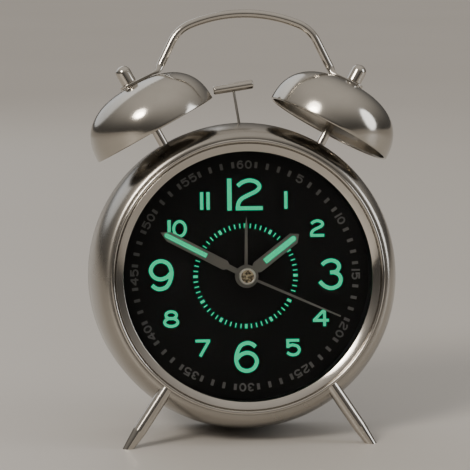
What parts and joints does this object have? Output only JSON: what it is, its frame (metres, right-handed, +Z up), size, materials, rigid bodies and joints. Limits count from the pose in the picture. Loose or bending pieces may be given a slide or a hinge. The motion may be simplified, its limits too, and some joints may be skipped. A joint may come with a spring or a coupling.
{
  "type": "alarm clock",
  "caption": "Twin-bell alarm clock with a round drum case, arch handle, hammer between the bells, luminous dial and two splayed legs.",
  "frame": {"origin": "middle of the bounding box at table level", "axes": "the dial faces -Y and leans back, +Z is up, +X is to the right of someone reading the dial"},
  "size_m": [0.12, 0.0596, 0.1661],
  "materials": {
    "drum": "satin nickel plate",
    "bezel": "polished",
    "bell": "polished",
    "bright_steel": "polished",
    "steel": "plain",
    "lens": "clear",
    "spacer": "matte",
    "dial": "matte black print",
    "lume": "glow paint",
    "print": "grey print",
    "hand": "satin",
    "cover": "fine texture",
    "knob": "moulded",
    "cell": "plain wrapper",
    "winding": "lacquered wire",
    "housing": "moulded",
    "brass": "plain",
    "board": "laminate",
    "magnet": "ground",
    "gear": "moulded"
  },
  "bodies": {
    "case": {"case_shell": "drum", "bezel_ring": "bezel", "lens": "lens", "dial_spacer_ring": "spacer", "dial_plate": "dial", "bell_left": "bell", "bell_right": "bell", "bell_posts": "bright_steel", "bell_bolts": "steel", "cap_nuts": "bright_steel", "handle": "bright_steel", "leg_left": "bright_steel", "leg_right": "bright_steel", "back_cover": "cover", "back_cover_screws": "steel", "battery_cell": "cell", "battery_contacts": "steel", "alarm_switch_body": "knob", "hammer_bracket": "steel", "hammer_pivot_pin": "steel", "ringer_coil": "winding", "ringer_core": "steel", "movement_front": "housing", "movement_back": "housing", "movement_plate": "brass", "movement_screws": "steel", "circuit_board": "board", "quartz_crystal": "steel", "stepper_coil": "winding", "stepper_stator": "steel"},
    "second_hand": {"second_shaft": "steel", "second_wheel": "gear", "second_hand": "hand", "hand_cap": "bright_steel"},
    "intermediate": {"intermediate_wheel": "gear"},
    "rotor": {"rotor_magnet": "magnet", "rotor_pinion": "gear"},
    "third": {"third_wheel": "gear"},
    "centre": {"centre_wheel": "gear"},
    "minute_hand": {"minute_tube": "brass", "cannon_pinion": "gear", "minute_hand": "hand"},
    "motion": {"minute_wheel": "gear"},
    "hour_hand": {"hour_wheel": "gear", "hour_tube": "brass", "hour_hand": "hand"},
    "time_set": {"time_set_gear": "gear", "time_set_stem": "steel", "time_set_knob": "knob"},
    "alarm_hand": {"alarm_wheel": "gear", "alarm_tube": "brass", "alarm_hand": "hand"},
    "alarm_set": {"alarm_set_gear": "gear", "alarm_set_stem": "steel", "alarm_set_knob": "knob"},
    "hammer": {"hammer_head": "bright_steel", "hammer_stem": "steel", "hammer_hub": "steel"},
    "alarm_switch": {"alarm_switch_slider": "knob"},
    "door": {"battery_door": "cover"}
  },
  "joints": [
    {"name": "second_hand_turn", "type": "hinge", "parent": "case", "child": "second_hand", "pos_m": [0, -0.00244, 0.06256], "axis": [0, 0.9912, -0.1323], "continuous": true},
    {"name": "intermediate_turn", "type": "hinge", "parent": "case", "child": "intermediate", "pos_m": [-0.00359, -0.00374, 0.05278], "axis": [0, 0.9912, -0.1323], "continuous": true},
    {"name": "rotor_turn", "type": "hinge", "parent": "case", "child": "rotor", "pos_m": [0.0029, -0.00424, 0.04906], "axis": [0, 0.9912, -0.1323], "continuous": true},
    {"name": "third_turn", "type": "hinge", "parent": "case", "child": "third", "pos_m": [0, -0.00064, 0.07604], "axis": [0, 0.9912, -0.1323], "continuous": true},
    {"name": "centre_turn", "type": "hinge", "parent": "case", "child": "centre", "pos_m": [0, -0.00244, 0.06256], "axis": [0, 0.9912, -0.1323], "continuous": true},
    {"name": "minute_hand_turn", "type": "hinge", "parent": "case", "child": "minute_hand", "pos_m": [0, -0.00244, 0.06256], "axis": [0, 0.9912, -0.1323], "continuous": true},
    {"name": "motion_turn", "type": "hinge", "parent": "case", "child": "motion", "pos_m": [0.00909, -0.00313, 0.05736], "axis": [0, 0.9912, -0.1323], "continuous": true},
    {"name": "hour_hand_turn", "type": "hinge", "parent": "case", "child": "hour_hand", "pos_m": [0, -0.00244, 0.06256], "axis": [0, 0.9912, -0.1323], "continuous": true},
    {"name": "time_set_turn", "type": "hinge", "parent": "case", "child": "time_set", "pos_m": [0.01819, -0.00383, 0.05215], "axis": [0, 0.9912, -0.1323], "continuous": true},
    {"name": "alarm_hand_turn", "type": "hinge", "parent": "case", "child": "alarm_hand", "pos_m": [0, -0.00244, 0.06256], "axis": [0, 0.9912, -0.1323], "continuous": true},
    {"name": "alarm_set_turn", "type": "hinge", "parent": "case", "child": "alarm_set", "pos_m": [-0.01386, -0.0035, 0.05463], "axis": [0, 0.9912, -0.1323], "continuous": true},
    {"name": "hammer_swing", "type": "hinge", "parent": "case", "child": "hammer", "pos_m": [0.0012, 0.0013, 0.10645], "axis": [0, 0.9912, -0.1323], "range_deg": [-1.5, 15.2]},
    {"name": "alarm_switch_slide", "type": "slide", "parent": "case", "child": "alarm_switch", "axis": [1, 0, 0], "range_m": [0, 0.005]},
    {"name": "door_slide", "type": "slide", "parent": "case", "child": "door", "axis": [0, 0.9912, -0.1323], "range_m": [0, 0.025]}
  ],
  "couplings": [
    {"joint": "intermediate_turn", "follows": "second_hand_turn", "ratio": -6},
    {"joint": "rotor_turn", "follows": "second_hand_turn", "ratio": 30},
    {"joint": "third_turn", "follows": "second_hand_turn", "ratio": -0.13333},
    {"joint": "centre_turn", "follows": "second_hand_turn", "ratio": 0.016667},
    {"joint": "motion_turn", "follows": "minute_hand_turn", "ratio": -0.33333},
    {"joint": "hour_hand_turn", "follows": "minute_hand_turn", "ratio": 0.083333},
    {"joint": "time_set_turn", "follows": "minute_hand_turn", "ratio": 1},
    {"joint": "alarm_set_turn", "follows": "alarm_hand_turn", "ratio": -3}
  ]
}
